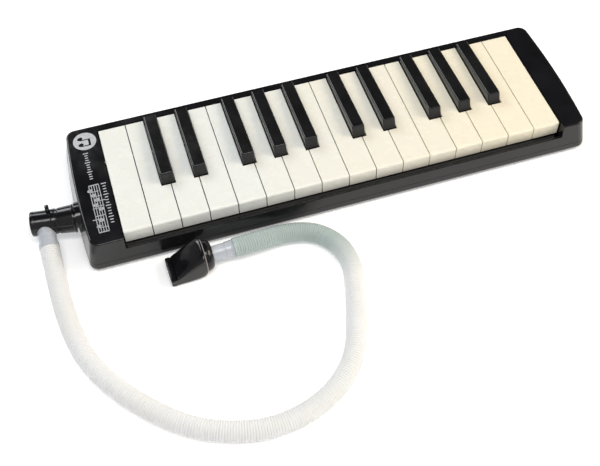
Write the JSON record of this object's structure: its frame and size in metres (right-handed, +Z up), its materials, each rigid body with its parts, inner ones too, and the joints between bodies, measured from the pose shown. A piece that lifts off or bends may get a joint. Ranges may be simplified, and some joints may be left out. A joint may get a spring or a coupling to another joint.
{
  "type": "melodica",
  "caption": "Hand-held free-reed keyboard blown through a flexible hose, with sprung white and black keys over a sealed reed chamber.",
  "frame": {"origin": "centre of the casing's footprint, on the surface it stands on", "axes": "+X from the low keys to the high keys, +Y from the player's side to the back of the keys, +Z up"},
  "size_m": [0.4035, 0.2647, 0.035],
  "materials": {
    "case_black": "gloss",
    "key_ivory": "gloss",
    "key_black": "satin gloss",
    "fitting_black": "gloss",
    "grey_plastic": "matte",
    "drain_plastic": "matte",
    "foot_rubber": "matte",
    "seal_rubber": "matte",
    "steel": "satin",
    "brass": "satin",
    "felt": "napped",
    "sleeve_soft": "translucent satin",
    "hose_soft": "translucent satin"
  },
  "bodies": {
    "casing": {"lower_case": "case_black", "upper_case": "case_black", "rubber_feet": "foot_rubber", "case_screws": "steel", "wind_chamber": "grey_plastic", "chamber_gasket": "seal_rubber", "valve_board": "grey_plastic", "chamber_screws": "steel", "reed_plate_low": "brass", "reed_plate_high": "brass", "reed_tongues": "brass", "reed_rivets": "brass", "reed_plate_screws": "steel", "axle_brackets": "grey_plastic", "key_axle": "steel", "key_springs": "steel", "key_felts": "felt", "blow_socket": "grey_plastic", "wind_duct": "grey_plastic", "drain_spring": "steel"},
    "white_01": {"white_key_01": "key_ivory"},
    "white_02": {"white_key_02": "key_ivory"},
    "white_03": {"white_key_03": "key_ivory"},
    "white_04": {"white_key_04": "key_ivory"},
    "white_05": {"white_key_05": "key_ivory"},
    "white_06": {"white_key_06": "key_ivory"},
    "white_07": {"white_key_07": "key_ivory"},
    "white_08": {"white_key_08": "key_ivory"},
    "white_09": {"white_key_09": "key_ivory"},
    "white_10": {"white_key_10": "key_ivory"},
    "white_11": {"white_key_11": "key_ivory"},
    "white_12": {"white_key_12": "key_ivory"},
    "white_13": {"white_key_13": "key_ivory"},
    "white_14": {"white_key_14": "key_ivory"},
    "white_15": {"white_key_15": "key_ivory"},
    "white_16": {"white_key_16": "key_ivory"},
    "black_01": {"black_key_01": "key_black"},
    "black_02": {"black_key_02": "key_black"},
    "black_03": {"black_key_03": "key_black"},
    "black_04": {"black_key_04": "key_black"},
    "black_05": {"black_key_05": "key_black"},
    "black_06": {"black_key_06": "key_black"},
    "black_07": {"black_key_07": "key_black"},
    "black_08": {"black_key_08": "key_black"},
    "black_09": {"black_key_09": "key_black"},
    "black_10": {"black_key_10": "key_black"},
    "drain_valve": {"drain_button": "drain_plastic", "drain_seal": "seal_rubber"},
    "elbow": {"elbow_connector": "fitting_black", "socket_o_ring": "seal_rubber", "elbow_sleeve": "sleeve_soft", "hose": "hose_soft", "mouth_sleeve": "sleeve_soft"},
    "mouthpiece": {"mouthpiece": "fitting_black"}
  },
  "joints": [
    {"name": "white_01_press", "type": "hinge", "parent": "casing", "child": "white_01", "pos_m": [-0.1475, 0.0225, 0.0205], "axis": [1, 0, 0], "range_deg": [0, 3.68], "stiffness_Nm_per_rad": 0.25, "springref_deg": -6.88, "deforming": ["key_springs"]},
    {"name": "white_02_press", "type": "hinge", "parent": "casing", "child": "white_02", "pos_m": [-0.1275, 0.0225, 0.0205], "axis": [1, 0, 0], "range_deg": [0, 3.68], "stiffness_Nm_per_rad": 0.25, "springref_deg": -6.88, "deforming": ["key_springs"]},
    {"name": "white_03_press", "type": "hinge", "parent": "casing", "child": "white_03", "pos_m": [-0.1075, 0.0225, 0.0205], "axis": [1, 0, 0], "range_deg": [0, 3.68], "stiffness_Nm_per_rad": 0.25, "springref_deg": -6.88, "deforming": ["key_springs"]},
    {"name": "white_04_press", "type": "hinge", "parent": "casing", "child": "white_04", "pos_m": [-0.0875, 0.0225, 0.0205], "axis": [1, 0, 0], "range_deg": [0, 3.68], "stiffness_Nm_per_rad": 0.25, "springref_deg": -6.88, "deforming": ["key_springs"]},
    {"name": "white_05_press", "type": "hinge", "parent": "casing", "child": "white_05", "pos_m": [-0.0675, 0.0225, 0.0205], "axis": [1, 0, 0], "range_deg": [0, 3.68], "stiffness_Nm_per_rad": 0.25, "springref_deg": -6.88, "deforming": ["key_springs"]},
    {"name": "white_06_press", "type": "hinge", "parent": "casing", "child": "white_06", "pos_m": [-0.0475, 0.0225, 0.0205], "axis": [1, 0, 0], "range_deg": [0, 3.68], "stiffness_Nm_per_rad": 0.25, "springref_deg": -6.88, "deforming": ["key_springs"]},
    {"name": "white_07_press", "type": "hinge", "parent": "casing", "child": "white_07", "pos_m": [-0.0275, 0.0225, 0.0205], "axis": [1, 0, 0], "range_deg": [0, 3.68], "stiffness_Nm_per_rad": 0.25, "springref_deg": -6.88, "deforming": ["key_springs"]},
    {"name": "white_08_press", "type": "hinge", "parent": "casing", "child": "white_08", "pos_m": [-0.0075, 0.0225, 0.0205], "axis": [1, 0, 0], "range_deg": [0, 3.68], "stiffness_Nm_per_rad": 0.25, "springref_deg": -6.88, "deforming": ["key_springs"]},
    {"name": "white_09_press", "type": "hinge", "parent": "casing", "child": "white_09", "pos_m": [0.0125, 0.0225, 0.0205], "axis": [1, 0, 0], "range_deg": [0, 3.68], "stiffness_Nm_per_rad": 0.25, "springref_deg": -6.88, "deforming": ["key_springs"]},
    {"name": "white_10_press", "type": "hinge", "parent": "casing", "child": "white_10", "pos_m": [0.0325, 0.0225, 0.0205], "axis": [1, 0, 0], "range_deg": [0, 3.68], "stiffness_Nm_per_rad": 0.25, "springref_deg": -6.88, "deforming": ["key_springs"]},
    {"name": "white_11_press", "type": "hinge", "parent": "casing", "child": "white_11", "pos_m": [0.0525, 0.0225, 0.0205], "axis": [1, 0, 0], "range_deg": [0, 3.68], "stiffness_Nm_per_rad": 0.25, "springref_deg": -6.88, "deforming": ["key_springs"]},
    {"name": "white_12_press", "type": "hinge", "parent": "casing", "child": "white_12", "pos_m": [0.0725, 0.0225, 0.0205], "axis": [1, 0, 0], "range_deg": [0, 3.68], "stiffness_Nm_per_rad": 0.25, "springref_deg": -6.88, "deforming": ["key_springs"]},
    {"name": "white_13_press", "type": "hinge", "parent": "casing", "child": "white_13", "pos_m": [0.0925, 0.0225, 0.0205], "axis": [1, 0, 0], "range_deg": [0, 3.68], "stiffness_Nm_per_rad": 0.25, "springref_deg": -6.88, "deforming": ["key_springs"]},
    {"name": "white_14_press", "type": "hinge", "parent": "casing", "child": "white_14", "pos_m": [0.1125, 0.0225, 0.0205], "axis": [1, 0, 0], "range_deg": [0, 3.68], "stiffness_Nm_per_rad": 0.25, "springref_deg": -6.88, "deforming": ["key_springs"]},
    {"name": "white_15_press", "type": "hinge", "parent": "casing", "child": "white_15", "pos_m": [0.1325, 0.0225, 0.0205], "axis": [1, 0, 0], "range_deg": [0, 3.68], "stiffness_Nm_per_rad": 0.25, "springref_deg": -6.88, "deforming": ["key_springs"]},
    {"name": "white_16_press", "type": "hinge", "parent": "casing", "child": "white_16", "pos_m": [0.1525, 0.0225, 0.0205], "axis": [1, 0, 0], "range_deg": [0, 3.68], "stiffness_Nm_per_rad": 0.25, "springref_deg": -6.88, "deforming": ["key_springs"]},
    {"name": "black_01_press", "type": "hinge", "parent": "casing", "child": "black_01", "pos_m": [-0.1191, 0.0225, 0.0205], "axis": [1, 0, 0], "range_deg": [0, 4.95], "stiffness_Nm_per_rad": 0.2, "springref_deg": -6.88, "deforming": ["key_springs"]},
    {"name": "black_02_press", "type": "hinge", "parent": "casing", "child": "black_02", "pos_m": [-0.0958, 0.0225, 0.0205], "axis": [1, 0, 0], "range_deg": [0, 4.95], "stiffness_Nm_per_rad": 0.2, "springref_deg": -6.88, "deforming": ["key_springs"]},
    {"name": "black_03_press", "type": "hinge", "parent": "casing", "child": "black_03", "pos_m": [-0.0607, 0.0225, 0.0205], "axis": [1, 0, 0], "range_deg": [0, 4.95], "stiffness_Nm_per_rad": 0.2, "springref_deg": -6.88, "deforming": ["key_springs"]},
    {"name": "black_04_press", "type": "hinge", "parent": "casing", "child": "black_04", "pos_m": [-0.0375, 0.0225, 0.0205], "axis": [1, 0, 0], "range_deg": [0, 4.95], "stiffness_Nm_per_rad": 0.2, "springref_deg": -6.88, "deforming": ["key_springs"]},
    {"name": "black_05_press", "type": "hinge", "parent": "casing", "child": "black_05", "pos_m": [-0.0143, 0.0225, 0.0205], "axis": [1, 0, 0], "range_deg": [0, 4.95], "stiffness_Nm_per_rad": 0.2, "springref_deg": -6.88, "deforming": ["key_springs"]},
    {"name": "black_06_press", "type": "hinge", "parent": "casing", "child": "black_06", "pos_m": [0.0209, 0.0225, 0.0205], "axis": [1, 0, 0], "range_deg": [0, 4.95], "stiffness_Nm_per_rad": 0.2, "springref_deg": -6.88, "deforming": ["key_springs"]},
    {"name": "black_07_press", "type": "hinge", "parent": "casing", "child": "black_07", "pos_m": [0.0442, 0.0225, 0.0205], "axis": [1, 0, 0], "range_deg": [0, 4.95], "stiffness_Nm_per_rad": 0.2, "springref_deg": -6.88, "deforming": ["key_springs"]},
    {"name": "black_08_press", "type": "hinge", "parent": "casing", "child": "black_08", "pos_m": [0.0793, 0.0225, 0.0205], "axis": [1, 0, 0], "range_deg": [0, 4.95], "stiffness_Nm_per_rad": 0.2, "springref_deg": -6.88, "deforming": ["key_springs"]},
    {"name": "black_09_press", "type": "hinge", "parent": "casing", "child": "black_09", "pos_m": [0.1025, 0.0225, 0.0205], "axis": [1, 0, 0], "range_deg": [0, 4.95], "stiffness_Nm_per_rad": 0.2, "springref_deg": -6.88, "deforming": ["key_springs"]},
    {"name": "black_10_press", "type": "hinge", "parent": "casing", "child": "black_10", "pos_m": [0.1257, 0.0225, 0.0205], "axis": [1, 0, 0], "range_deg": [0, 4.95], "stiffness_Nm_per_rad": 0.2, "springref_deg": -6.88, "deforming": ["key_springs"]},
    {"name": "drain_press", "type": "slide", "parent": "casing", "child": "drain_valve", "axis": [0, 0, 1], "range_m": [0, 0.0011], "stiffness_N_per_m": 400, "springref_m": -0.0015, "deforming": ["drain_spring"]},
    {"name": "elbow_swivel", "type": "hinge", "parent": "casing", "child": "elbow", "pos_m": [-0.187, -0.016, 0.0155], "axis": [-1, 0, 0], "range_deg": [0, 90]},
    {"name": "mouthpiece_twist", "type": "hinge", "parent": "elbow", "child": "mouthpiece", "pos_m": [-0.1035, -0.0712, 0.0113], "axis": [0.9997, 0.0262, 0], "range_deg": [-90, 90]}
  ]
}
